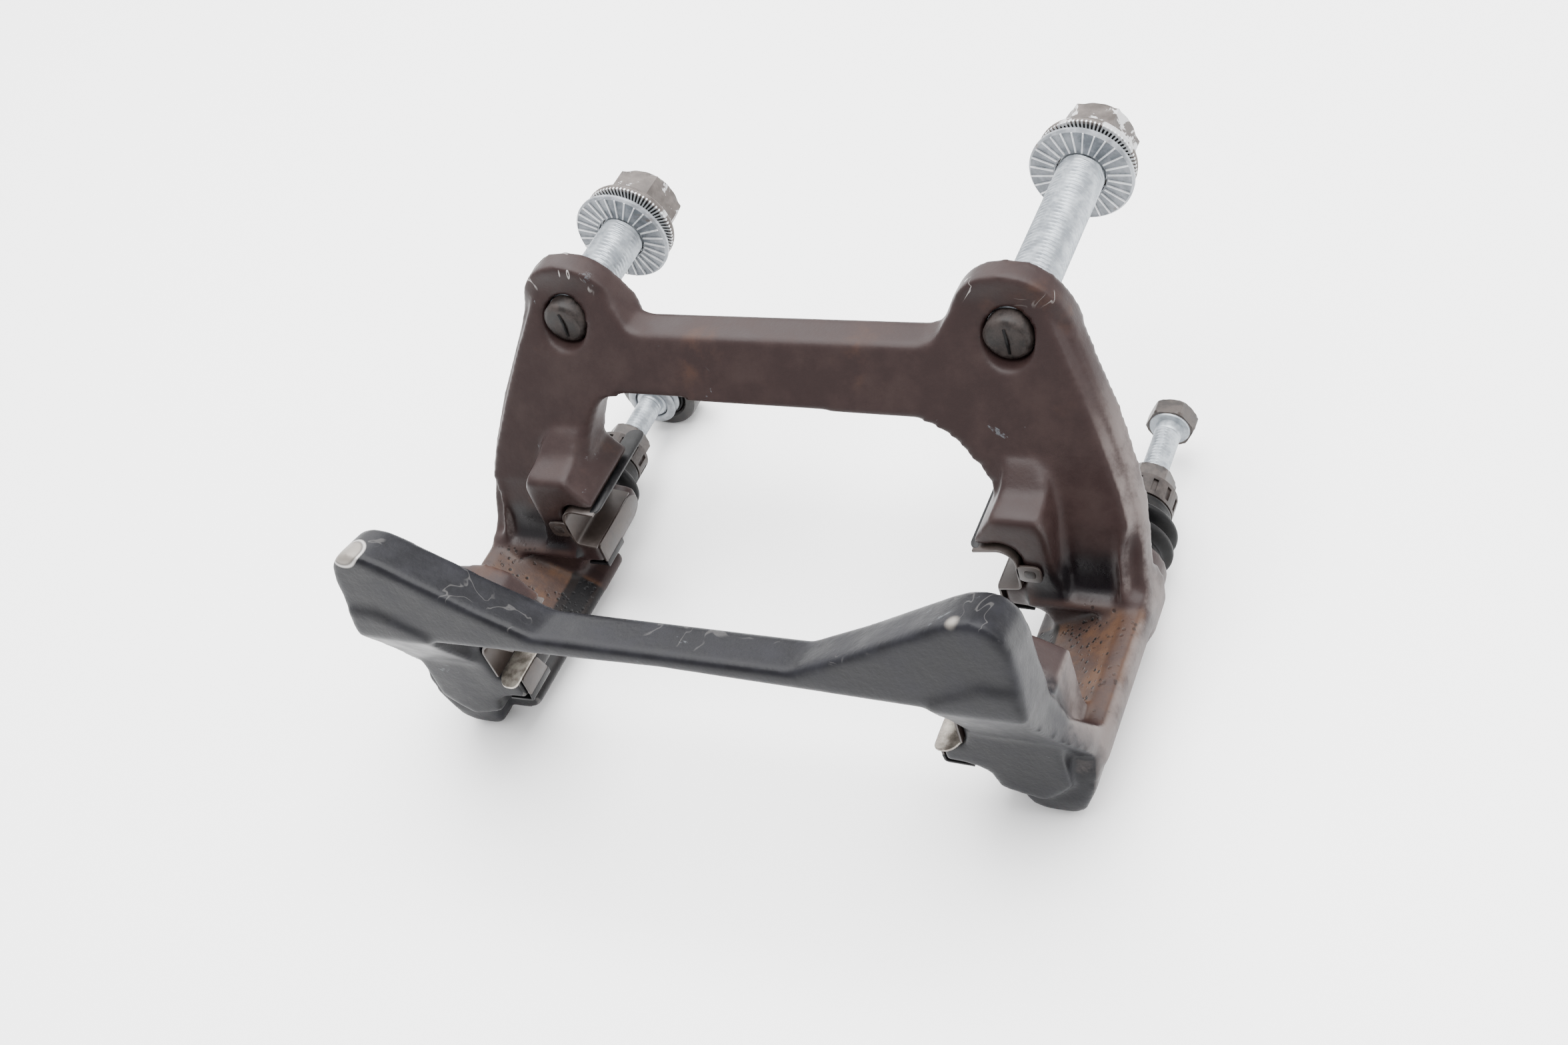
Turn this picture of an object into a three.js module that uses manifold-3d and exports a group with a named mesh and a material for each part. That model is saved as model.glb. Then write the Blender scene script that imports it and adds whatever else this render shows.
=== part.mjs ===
// A disc brake's caliper bracket: an iron casting that straddles the disc, with its pad clips,
// its two mounting bolts and the guide pins, boots and guide bolts that the caliper slides on.
import * as THREE from "three";
import { mergeVertices } from "three/addons/utils/BufferGeometryUtils.js";
import Module from "manifold-3d";

const wasm = await Module();
wasm.setup();

// Millimetres. Design frame: X across the bracket, +Y inboard along the bolts, +Z towards the hub,
// with the origin midway between the two mounting bolts at the front of their bores.
const boltHalfSpacing = 69;
const boltRadius = 7;
const boreClearance = 0.3;
const washerRadius = 15.3;
const washerThickness = 2.4;
const flangeRadius = 14.6;
const headAcrossFlats = 21;
const boltTipY = -1.5;
const leftFlangeY = 45;
const rightFlangeY = 75;
const washerGap = 3.8;
const headHeight = 15;

const pinX = 89.3;
const pinZ = -75;
const pinRadius = 5.5;
const pinTipY = -22;
const pinBoreEndY = -31.5;
const threadDepth = 25;
const pinHexFlats = 13;
const pinHexHeight = 6.5;
const leftPinHexY = 21;
const rightPinHexY = 19;
const crownRadius = 9.2;
const crownHeight = 7;
const crownSlots = 12;
const ringRadius = 8.6;
const ringHeight = 2.5;
const bushLength = 13;
const bushInnerRadius = 4.2;
const guideBoltRadius = 4;
const leftCollarY = 43.5;
const rightGuideHeadY = 46;
const threadEngaged = 13;
const guideHeadHeight = 6;
const collarHeight = 4.6;
const damperRadius = 14;
const floorZ = -89;
const damperDepth = 12;

const leanAngle = THREE.MathUtils.degToRad(29.6);
const plateThickness = 13;
const barBackY = 8.6;
const earRadius = 17.3;
const earBackY = 12.5;
const bossRadius = 13;
const towerFrontY = -34.5;
const towerBackY = -8;
const baseBackY = -20;
const outerTowerBackY = -68;
const outerTowerFrontY = -88;
const tieFaceLean = 0.11;
const tieTopFall = 0.24;
const tieThickness = 14.5;
const clipGauge = 0.8;

function outline(points) {
  return new THREE.Shape(points.map(([a, b]) => new THREE.Vector2(a, b)));
}

function asSolid(geometry) {
  const bare = geometry.index ? geometry.toNonIndexed() : geometry.clone();
  bare.deleteAttribute("normal");
  bare.deleteAttribute("uv");
  const merged = mergeVertices(bare, 1e-4);
  return new wasm.Manifold(
    new wasm.Mesh({
      numProp: 3,
      vertProperties: merged.attributes.position.array,
      triVerts: new Uint32Array(merged.index.array),
    }),
  );
}

function asGeometry(solid) {
  const mesh = solid.getMesh();
  const geometry = new THREE.BufferGeometry();
  geometry.setAttribute("position", new THREE.BufferAttribute(mesh.vertProperties, 3));
  geometry.setIndex(new THREE.BufferAttribute(mesh.triVerts, 1));
  geometry.computeVertexNormals();
  return geometry;
}

function joined(first, ...others) {
  return others.reduce((sum, next) => sum.add(next), first);
}

// A slab whose outline lies in X and Z, between two planes across Y.
function slabAcrossY(points, lowY, highY, bevel = 0) {
  const geometry = new THREE.ExtrudeGeometry(outline(points), {
    depth: highY - lowY - 2 * bevel,
    bevelEnabled: bevel > 0,
    bevelThickness: bevel,
    bevelSize: bevel,
    bevelOffset: -bevel,
    bevelSegments: 1,
  });
  return asSolid(geometry.rotateX(Math.PI / 2).translate(0, highY - bevel, 0));
}

// A slab whose outline lies in Y and Z, between two planes across X.
function slabAcrossX(points, lowX, highX) {
  const geometry = new THREE.ExtrudeGeometry(outline(points), {
    depth: highX - lowX,
    bevelEnabled: false,
  });
  return asSolid(geometry.rotateX(Math.PI / 2).rotateZ(Math.PI / 2).translate(lowX, 0, 0));
}

function barrel(radius, lowY, highY, x, z, sides = 32) {
  const geometry = new THREE.CylinderGeometry(radius, radius, highY - lowY, sides);
  return asSolid(geometry.translate(x, (lowY + highY) / 2, z));
}

// A body of revolution about a line along Y: profile is [radius, y], from axis to axis.
function turned(profile, x, z, sides = 32) {
  const points = profile.map(([r, y]) => new THREE.Vector2(r, y));
  return asSolid(new THREE.LatheGeometry(points, sides).translate(x, 0, z));
}

function hexagon(acrossFlats, lowY, highY, x, z) {
  const corner = acrossFlats / Math.sqrt(3);
  return barrel(corner, lowY, highY, x, z, 6);
}

function mirrored(solid) {
  return solid.mirror([1, 0, 0]);
}

// The plate's front face leans back as it rises: its Y at a height z.
function leanFrontY(z) {
  return Math.tan(leanAngle) * z - 1.3;
}

// The slab between the plate's leaning front face, set back by a depth, and its rear face.
function leaningSlab(setBack) {
  return slabAcrossX(
    [
      [leanFrontY(20) + setBack, 20],
      [leanFrontY(-66) + setBack, -66],
      [leanFrontY(-66) + plateThickness, -66],
      [leanFrontY(20) + plateThickness, 20],
    ],
    -120,
    120,
  );
}

// Ears, cross bar and legs. The outer edge is drawn in by inset, so that a narrower front layer on a
// wider one gives the casting its rounded shoulder.
function plateLayer(inset, setBack) {
  const outer = [
    [44, -2],
    [48, -1],
    [50.5, 3],
    [52.5 + inset * 0.4, 7],
    [56.5 + inset * 0.6, 12 - inset * 0.8],
    [61 + inset * 0.4, 15.6 - inset],
    [68, 17.3 - inset],
    [75 - inset * 0.4, 16 - inset],
    [80.5 - inset * 0.7, 12 - inset * 0.7],
    [84.4 - inset * 0.8, 5 - inset * 0.5],
    [87 - inset * 0.7, -2.5],
    [91.5 - inset * 0.6, -12],
    [96.6 - inset * 0.7, -22.5],
    [101 - inset * 0.6, -34],
    [103.4 - inset * 0.6, -42],
    [104 - inset * 1.5, -50],
    [104.8 - inset * 1.5, -58],
    [105.8 - inset * 0.6, -64],
  ];
  const notch = [
    [72.4, -64],
    [72.4, -58],
    [72.9, -47],
    [71.4, -44.2],
    [68.3, -42.6],
    [66.4, -42.9],
  ];
  const rightWindow = [
    [64.5, -40],
    [62.6, -33.7],
    [59.7, -30],
    [56.6, -27.5],
    [52, -23.4],
    [47, -21],
    [42, -20],
  ];
  const leftWindow = [
    [66, -40],
    [63.9, -30],
    [62.4, -25.4],
    [60.4, -21.4],
    [56.6, -19],
    [50, -18],
  ];
  const right = [...outer, ...notch, ...rightWindow];
  const left = [...outer, ...notch, ...leftWindow].reverse().map(([x, z]) => [-x, z]);
  return slabAcrossY([...right, ...left], -60, 40).intersect(leaningSlab(setBack));
}

// The jaw that a pad's lug bears on: a nose over the slot, the slot's wall and a lip below it.
const jaw = [
  [66.6, -33.8],
  [60.4, -42.4],
  [61.2, -43.8],
  [68.3, -42.6],
  [71.4, -44.2],
  [72.9, -47],
  [72.4, -58.9],
  [65.4, -59.8],
  [65.2, -67],
  [73.2, -67.6],
  [77.2, -70.6],
  [77.6, -75],
];

// One side of the casting, drawn on the +X side.
function sideTower() {
  const innerJaw = slabAcrossY(
    [
      ...jaw,
      [86, -72],
      [86, -62],
      [83, -58],
      [82, -52],
      [82, -38],
      [80, -30],
      [74, -25],
      [67, -27],
    ],
    towerFrontY,
    towerBackY,
  ).intersect(
    slabAcrossX(
      [
        [towerFrontY - 1, -35.4],
        [towerFrontY + 1.4, -33.2],
        [-25, -32],
        [-18, -27],
        [towerBackY + 1, -27],
        [towerBackY + 1, -89],
        [towerFrontY - 1, -89],
      ],
      50,
      110,
    ),
  );
  const baseOutline = [
    [72.4, -60],
    [77.6, -75],
    [73.4, -77.2],
    [71, -78.4],
    [70.8, -81],
    [76.6, -85],
    [84, -88],
    [92, -87],
    [101, -81],
    [105.6, -73],
    [106, -64.4],
    [104.8, -60],
    [84, -57],
  ];
  const base = slabAcrossY(baseOutline, towerFrontY, baseBackY);
  const hollow = slabAcrossX(
    [
      [-60, -61.4],
      [towerFrontY, -61.4],
      [-31.4, -60],
      [-29.6, -56],
      [-28.4, -50],
      [-25, -42],
      [-60, -42],
    ],
    83.4,
    98,
  );
  const bridge = slabAcrossY(
    [
      [78, -74],
      [98, -62.8],
      [99.4, -61.6],
      [103.4, -61.2],
      [105.8, -63.6],
      [106, -69],
      [103, -73],
      [90, -82],
      [80, -84],
      [74, -83],
      [70.8, -80.6],
      [71, -78.4],
      [73.4, -77.2],
    ],
    outerTowerFrontY + 8,
    towerFrontY + 4,
  );
  const outerJaw = slabAcrossY(
    [
      ...jaw,
      [80, -76.4],
      [90, -79],
      [98, -72],
      [98, -40],
      [84, -33],
      [74, -31],
    ],
    outerTowerFrontY,
    outerTowerBackY,
  );
  const outerWall = slabAcrossX(
    [
      [-98.4, 2],
      [-101, -28.6],
      [-82.5, -64],
      [-84.6, -70],
      [-85.6, -81],
      [-84.6, -87.4],
      [-81.6, -89],
      [-76, -89],
      [-68, -82],
      [-62, -74],
      [-66, -64.4],
      [-74, -62],
      [-82, -50],
      [-84, -38],
      [-86.4, 2],
    ],
    74,
    105,
  ).intersect(
    slabAcrossY(
      [
        [74, -27],
        [88, -20],
        [98.4, -20],
        [99, -38],
        [100.6, -48],
        [104.2, -58],
        [104.8, -62],
        [104.6, -70],
        [102.4, -77],
        [98.6, -85],
        [95.6, -88.2],
        [92, -89],
        [88.4, -88.6],
        [84.6, -86.4],
        [82.4, -81],
        [80.8, -72],
        [76, -60],
      ],
      -110,
      -50,
    ),
  );
  const boss = barrel(bossRadius, towerFrontY + 6, towerBackY, pinX, pinZ);
  return { solid: joined(innerJaw, base, bridge, outerJaw, outerWall, boss), hollow };
}

// The bar that ties the two outboard towers, low in the middle and humped at its ends.
function tieBar() {
  const half = [
    [0, 0],
    [38.5, 0],
    [56, 8],
    [80, 20.4],
    [85, 22.6],
    [90, 23.2],
    [94, 22],
    [97, 18.6],
    [98.4, 13],
    [99.4, -6.4],
    [72, -7],
    [0, -5],
  ];
  const other = half.slice(1, -1).reverse().map(([x, z]) => [-x, z]);
  const bevel = 0.9;
  const geometry = new THREE.ExtrudeGeometry(outline([...half, ...other]), {
    depth: tieThickness - 2 * bevel,
    bevelEnabled: true,
    bevelThickness: bevel,
    bevelSize: bevel,
    bevelOffset: -bevel,
    bevelSegments: 1,
  });
  geometry.rotateX(Math.PI / 2).translate(0, tieThickness - bevel, 0);
  const sheared = new THREE.Matrix4().makeShear(0, 0, 0, -tieTopFall, 0, tieFaceLean);
  geometry.applyMatrix4(sheared).translate(0, -99.4, -22.6);
  return asSolid(geometry);
}

function carrierCasting() {
  const behindEars = slabAcrossY(
    [
      [-120, 30],
      [120, 30],
      [120, -30],
      [-120, -30],
    ],
    earBackY,
    60,
  );
  const behindBar = slabAcrossY(
    [
      [-48, 10],
      [48, 10],
      [48, -30],
      [-48, -30],
    ],
    barBackY,
    60,
  );
  let casting = plateLayer(3.4, 0).add(plateLayer(0, 4));
  for (const side of [-1, 1]) {
    casting = casting.add(
      barrel(earRadius - 0.4, 4, earBackY, side * (boltHalfSpacing - 0.8), 0, 40),
    );
  }
  casting = casting.subtract(behindEars).subtract(behindBar);
  const tower = sideTower();
  casting = joined(casting, tower.solid, mirrored(tower.solid), tieBar());
  casting = casting.subtract(tower.hollow).subtract(mirrored(tower.hollow));
  for (const side of [-1, 1]) {
    const bolt = barrel(boltRadius + boreClearance, -40, 40, side * boltHalfSpacing, 0);
    const pin = barrel(pinRadius + boreClearance, pinBoreEndY, 40, side * pinX, pinZ);
    casting = casting.subtract(bolt).subtract(pin);
  }
  return casting;
}

// A pad clip is one folded strip: a tongue under the jaw's nose, a channel round the pad's slot and a
// skirt over the lip below it. There is one at each of the four slots.
function ribbon(points, lowY, highY) {
  const half = clipGauge / 2;
  const side = (sign) =>
    points.map(([x, z], i) => {
      const before = points[Math.max(i - 1, 0)];
      const after = points[Math.min(i + 1, points.length - 1)];
      const inward = new THREE.Vector2(x - before[0], z - before[1]).normalize();
      const outward = new THREE.Vector2(after[0] - x, after[1] - z).normalize();
      if (i === 0) inward.copy(outward);
      if (i === points.length - 1) outward.copy(inward);
      const along = inward.clone().add(outward).normalize();
      const reach = half / Math.max(along.dot(inward), 0.4);
      return [x - sign * along.y * reach, z + sign * along.x * reach];
    });
  return slabAcrossY([...side(1), ...side(-1).reverse()], lowY, highY);
}

const clipChannel = [
  [60.2, -44.7],
  [68, -43.7],
  [70.6, -45.1],
  [71.9, -47.6],
  [71.5, -58.1],
  [64.6, -59],
];
const clipSkirt = [
  [71, -58.1],
  [64.6, -59],
  [64.3, -68],
  [64.9, -68.4],
  [72.4, -68.9],
];

function inboardClip() {
  const tongue = [
    [58.8, -44.7],
    [65.4, -44.3],
  ];
  const tab = slabAcrossY(
    [
      [71.4, -49],
      [77, -49],
      [78.4, -50.4],
      [78.4, -53.6],
      [77, -55],
      [71.2, -55],
    ],
    towerFrontY - 0.3 - clipGauge,
    towerFrontY - 0.3,
  );
  const cheek = ribbon(
    [
      [64.6, -59],
      [64.3, -66.4],
    ],
    towerFrontY - 0.3,
    towerBackY - 2,
  );
  return joined(
    ribbon(tongue, towerFrontY - 0.3, 1),
    ribbon(clipChannel, towerFrontY - 0.3 - clipGauge, towerBackY),
    ribbon(clipSkirt, towerFrontY - 0.3, towerFrontY + 11),
    cheek,
    tab,
  );
}

function outboardClip() {
  const foot = ribbon(
    [
      [64.9, -68.4],
      [72, -68.9],
      [72, -73],
    ],
    outerTowerFrontY + 3,
    outerTowerFrontY + 7,
  );
  return joined(
    ribbon(clipChannel, outerTowerFrontY - 2.6, outerTowerBackY),
    ribbon(clipSkirt, outerTowerFrontY + 1, outerTowerBackY - 8),
    foot,
  );
}

function mountingBolt(x, flangeY) {
  const hexStart = flangeY + 3.2;
  const hexEnd = flangeY + headHeight;
  const shank = turned(
    [
      [0, boltTipY],
      [boltRadius - 1, boltTipY],
      [boltRadius, boltTipY + 1],
      [boltRadius, flangeY],
      [flangeRadius - 0.6, flangeY],
      [flangeRadius, flangeY + 0.6],
      [flangeRadius - 0.4, flangeY + 2.4],
      [10.6, flangeY + 4.4],
      [0, flangeY + 4.4],
    ],
    x,
    0,
  );
  return shank.add(hexagon(headAcrossFlats, hexStart, hexEnd, x, 0));
}

function ribbedWasher(x, flangeY) {
  const backY = flangeY - washerGap;
  const disc = barrel(washerRadius, backY - washerThickness, backY, x, 0, 40);
  return disc.subtract(barrel(boltRadius + boreClearance, backY - 9, backY + 9, x, 0));
}

function guidePin(x, hexY, withBush) {
  const stem = turned(
    [
      [0, pinTipY],
      [pinRadius - 1.2, pinTipY],
      [pinRadius, pinTipY + 1.2],
      [pinRadius, hexY + 1],
      [0, hexY + 1],
    ],
    x,
    pinZ,
  );
  const head = hexagon(pinHexFlats, hexY, hexY + pinHexHeight, x, pinZ);
  const bore = barrel(guideBoltRadius + 0.3, hexY - threadDepth, hexY + 20, x, pinZ, 24);
  const pin = stem.add(head).subtract(bore);
  if (!withBush) return pin;
  const waistY = pinTipY + 2;
  return pin.subtract(ring(9, bushInnerRadius - 0.3, waistY, waistY + bushLength, x, pinZ));
}

// A guide pin's boot: two bellows between a foot against the tower and a neck on the pin.
function guideBoot(x, hexY) {
  const foot = towerBackY + 0.3;
  const top = hexY - crownHeight - 0.8;
  const span = top - foot;
  const wall = [
    [10.4, 0],
    [10.6, 0.1],
    [12.9, 0.22],
    [12.9, 0.36],
    [10.4, 0.5],
    [12.5, 0.62],
    [12.5, 0.76],
    [9.6, 0.9],
    [9.6, 1],
  ];
  const skin = wall.map(([r, share]) => [r, foot + share * span]);
  const boot = turned([[0, foot], ...skin, [0, top]], x, pinZ);
  const seat = barrel(ringRadius + 0.3, foot - 5, foot + ringHeight + 0.3, x, pinZ);
  return boot.subtract(barrel(pinRadius + 0.8, foot - 5, top + 5, x, pinZ, 24)).subtract(seat);
}

// The slotted crown that locks the boot's neck under the pin's hexagon.
function bootCrown(x, hexY) {
  const top = hexY - 0.5;
  const base = top - crownHeight;
  let crown = ring(crownRadius, pinRadius + 0.4, base, top, x, pinZ);
  for (let i = 0; i < crownSlots; i += 1) {
    const turn = (i * 2 * Math.PI) / crownSlots;
    const slot = asSolid(
      new THREE.BoxGeometry(1.6, crownHeight - 2.5, 1.4)
        .translate(0, base + crownHeight / 2, crownRadius)
        .rotateY(turn)
        .translate(x, 0, pinZ),
    );
    crown = crown.subtract(slot);
  }
  return crown;
}

function guideBolt(x, hexY, headY, withCollar) {
  const start = hexY - threadEngaged;
  const shank = barrel(guideBoltRadius, start, headY + 1, x, pinZ, 24);
  if (!withCollar) {
    const head = hexagon(pinHexFlats, headY, headY + guideHeadHeight, x, pinZ);
    const face = barrel(6.1, headY - 0.5, headY + 1, x, pinZ, 24);
    return joined(shank, head, face);
  }
  const core = barrel(5.6, headY, headY + collarHeight + damperDepth + 0.8, x, pinZ, 32);
  const washerFace = headY + collarHeight + damperDepth + 0.6;
  const flange = barrel(8, washerFace, washerFace + 1.6, x, pinZ, 32);
  const head = hexagon(pinHexFlats, washerFace + 1, washerFace + 6.4, x, pinZ);
  return joined(shank, core, flange, head);
}

function ring(outer, inner, lowY, highY, x, z, sides = 40) {
  return barrel(outer, lowY, highY, x, z, sides).subtract(
    barrel(inner, lowY - 5, highY + 5, x, z, sides),
  );
}

function finish(colour, roughness, metalness) {
  return new THREE.MeshStandardMaterial({ color: colour, roughness, metalness });
}

const brownIron = finish(0x4c3c38, 0.55, 0.2);
const blackRubber = finish(0x1a1a1c, 0.7, 0);
const zinc = finish(0xb9bdc0, 0.4, 0.8);
const wornSteel = finish(0x857a72, 0.5, 0.6);
const clipSteel = finish(0x4a4440, 0.45, 0.7);
const blackPaint = finish(0x2b2b2d, 0.5, 0.2);

const standing = new THREE.Group();

function place(name, solid, material) {
  const mesh = new THREE.Mesh(asGeometry(solid), material);
  mesh.name = name;
  standing.add(mesh);
}

place("carrier_casting", carrierCasting(), brownIron);
const inboard = inboardClip();
const outboard = outboardClip();
place("inboard_clip_right", inboard, clipSteel);
place("inboard_clip_left", mirrored(inboard), clipSteel);
place("outboard_clip_right", outboard, clipSteel);
place("outboard_clip_left", mirrored(outboard), clipSteel);

const sides = [
  {
    name: "left",
    sign: -1,
    flangeY: leftFlangeY,
    hexY: leftPinHexY,
    headY: leftCollarY,
    damped: true,
  },
  {
    name: "right",
    sign: 1,
    flangeY: rightFlangeY,
    hexY: rightPinHexY,
    headY: rightGuideHeadY,
    damped: false,
  },
];
for (const side of sides) {
  const boltX = side.sign * boltHalfSpacing;
  const guideX = side.sign * pinX;
  place("mounting_bolt_" + side.name, mountingBolt(boltX, side.flangeY), wornSteel);
  place("ribbed_washer_" + side.name, ribbedWasher(boltX, side.flangeY), zinc);
  place("guide_pin_" + side.name, guidePin(guideX, side.hexY, side.damped), wornSteel);
  place("guide_boot_" + side.name, guideBoot(guideX, side.hexY), blackRubber);
  place("boot_crown_" + side.name, bootCrown(guideX, side.hexY), blackRubber);
  const ringY = towerBackY + 0.3;
  place(
    "boot_ring_" + side.name,
    ring(ringRadius, pinRadius + 0.8, ringY, ringY + ringHeight, guideX, pinZ, 32),
    wornSteel,
  );
  place("guide_bolt_" + side.name, guideBolt(guideX, side.hexY, side.headY, side.damped), zinc);
}

const bushY = pinTipY + 2.3;
place(
  "pin_bush_left",
  ring(pinRadius, bushInnerRadius, bushY, bushY + bushLength - 0.6, -pinX, pinZ, 32),
  blackRubber,
);
const collarY = leftCollarY;
place("damper_collar_left", ring(8.6, 5.9, collarY, collarY + collarHeight, -pinX, pinZ), zinc);
const damperFrontY = collarY + collarHeight + 0.3;
const damperBackY = damperFrontY + damperDepth;
place(
  "damper_rubber_left",
  ring(9.6, 5.9, damperFrontY + 0.6, damperBackY - 0.6, -pinX, pinZ),
  blackRubber,
);
place(
  "damper_weight_left",
  ring(damperRadius, 9.9, damperFrontY, damperBackY, -pinX, pinZ),
  blackPaint,
);

// The part stands on its two outboard feet and the damper's rim, with its box's middle at X 0, Y 0.
const part = new THREE.Group();
part.add(standing);
part.updateMatrixWorld(true);
const bounds = new THREE.Box3().setFromObject(part, true);
standing.position.set(0, -(bounds.min.y + bounds.max.y) / 2, -floorZ);

export default part;
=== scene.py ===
import math
from types import SimpleNamespace
import bmesh
import bpy
import numpy as np
from mathutils import Matrix, Vector


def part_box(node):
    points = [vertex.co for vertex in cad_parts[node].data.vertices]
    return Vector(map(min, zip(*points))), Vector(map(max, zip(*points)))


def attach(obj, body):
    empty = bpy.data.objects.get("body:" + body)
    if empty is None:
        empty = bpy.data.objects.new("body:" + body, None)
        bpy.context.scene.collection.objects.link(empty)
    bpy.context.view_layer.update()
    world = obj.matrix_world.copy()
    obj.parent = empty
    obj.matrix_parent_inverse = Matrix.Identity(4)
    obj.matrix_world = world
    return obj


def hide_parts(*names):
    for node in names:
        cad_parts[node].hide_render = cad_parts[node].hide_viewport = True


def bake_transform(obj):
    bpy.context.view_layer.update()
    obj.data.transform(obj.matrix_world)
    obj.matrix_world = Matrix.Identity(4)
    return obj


# Bracket, clips and hardware. Metres, Z up, bolts run along +Y.
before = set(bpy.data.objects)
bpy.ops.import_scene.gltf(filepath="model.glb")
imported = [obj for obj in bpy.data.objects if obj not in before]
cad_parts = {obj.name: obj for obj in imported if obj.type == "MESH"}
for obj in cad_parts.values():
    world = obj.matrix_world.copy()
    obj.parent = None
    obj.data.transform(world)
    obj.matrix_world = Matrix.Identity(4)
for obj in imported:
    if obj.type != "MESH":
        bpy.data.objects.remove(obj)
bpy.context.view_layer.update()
print("stage: frame loaded")


def middle(node):
    low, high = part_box(node)
    return [(a + b) / 2 for a, b in zip(low, high)]


def span(node):
    low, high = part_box(node)
    return low[1], high[1]


# small mesh helpers
def meshPiece(name, verts, faces, smooth=True):
    mesh = bpy.data.meshes.new(name)
    mesh.from_pydata([tuple(v) for v in verts], [], faces)
    bm = bmesh.new()
    bm.from_mesh(mesh)
    bmesh.ops.remove_doubles(bm, verts=bm.verts, dist=1e-7)
    bmesh.ops.recalc_face_normals(bm, faces=bm.faces)
    bm.to_mesh(mesh)
    bm.free()
    piece = bpy.data.objects.new(name, mesh)
    bpy.context.scene.collection.objects.link(piece)
    if smooth:
        mesh.polygons.foreach_set("use_smooth", [True] * len(mesh.polygons))
    return piece


def bake(piece, name):
    # the evaluated mesh as a plain one, with no modifier left
    bpy.context.view_layer.update()
    depsgraph = bpy.context.evaluated_depsgraph_get()
    mesh = bpy.data.meshes.new_from_object(piece.evaluated_get(depsgraph))
    baked = bpy.data.objects.new(name, mesh)
    bpy.context.scene.collection.objects.link(baked)
    old = piece.data
    bpy.data.objects.remove(piece)
    if old.users == 0:
        bpy.data.meshes.remove(old)
    return baked


def joinPieces(name, pieces):
    # one mesh out of several, each face keeping its own finish
    bm = bmesh.new()
    mesh = bpy.data.meshes.new(name)
    for piece in pieces:
        start, shift = len(bm.faces), len(mesh.materials)
        bm.from_mesh(piece.data)
        bm.faces.ensure_lookup_table()
        for face in bm.faces[start:]:
            face.material_index += shift
        for material in piece.data.materials:
            mesh.materials.append(material)
    bm.to_mesh(mesh)
    bm.free()
    joined = bpy.data.objects.new(name, mesh)
    bpy.context.scene.collection.objects.link(joined)
    for piece in pieces:
        bpy.data.objects.remove(piece)
    return joined


def sharpByAngle(piece, degrees):
    piece.data.polygons.foreach_set("use_smooth", [True] * len(piece.data.polygons))
    piece.data.set_sharp_from_angle(angle=math.radians(degrees))


def revolve(name, radiusAt, ys, x, z, turns=96):
    # rings along Y whose radius may depend on the angle; ends close on the axis
    verts = []
    faces = []
    for i, y in enumerate(ys):
        for k in range(turns):
            a = 2 * math.pi * k / turns
            r = radiusAt(i, a)
            verts.append((x + r * math.sin(a), y, z + r * math.cos(a)))
    for i in range(len(ys) - 1):
        for k in range(turns):
            n = (k + 1) % turns
            faces.append((i * turns + k, i * turns + n, (i + 1) * turns + n, (i + 1) * turns + k))
    return meshPiece(name, verts, faces)


def lathe(name, profile, x, z, turns=96):
    return revolve(name, lambda i, a: profile[i][0], [p[1] for p in profile], x, z, turns)


def rounded(points, radius, steps=4):
    # the same closed outline with its corners eased
    out = []
    count = len(points)
    for i in range(count):
        before = Vector(points[i - 1])
        here = Vector(points[i])
        after = Vector(points[(i + 1) % count])
        reach = min(radius, (before - here).length * 0.45, (after - here).length * 0.45)
        a = here + (before - here).normalized() * reach
        b = here + (after - here).normalized() * reach
        for s in range(steps + 1):
            t = s / steps
            out.append((1 - t) ** 2 * a + 2 * t * (1 - t) * here + t * t * b)
    return out


def bellows(profile, steps=6):
    # a smooth curve through profile points, as [radius, y]
    pts = [Vector(p) for p in profile]
    out = []
    for i in range(len(pts) - 1):
        p0 = pts[max(i - 1, 0)]
        p1 = pts[i]
        p2 = pts[i + 1]
        p3 = pts[min(i + 2, len(pts) - 1)]
        for s in range(steps):
            t = s / steps
            out.append(0.5 * ((2 * p1) + (p2 - p0) * t + (2 * p0 - 5 * p1 + 4 * p2 - p3) * t * t
                              + (3 * p1 - p0 - 3 * p2 + p3) * t ** 3))
    out.append(pts[-1])
    return [(max(v[0], 0.0), v[1]) for v in out]


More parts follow.
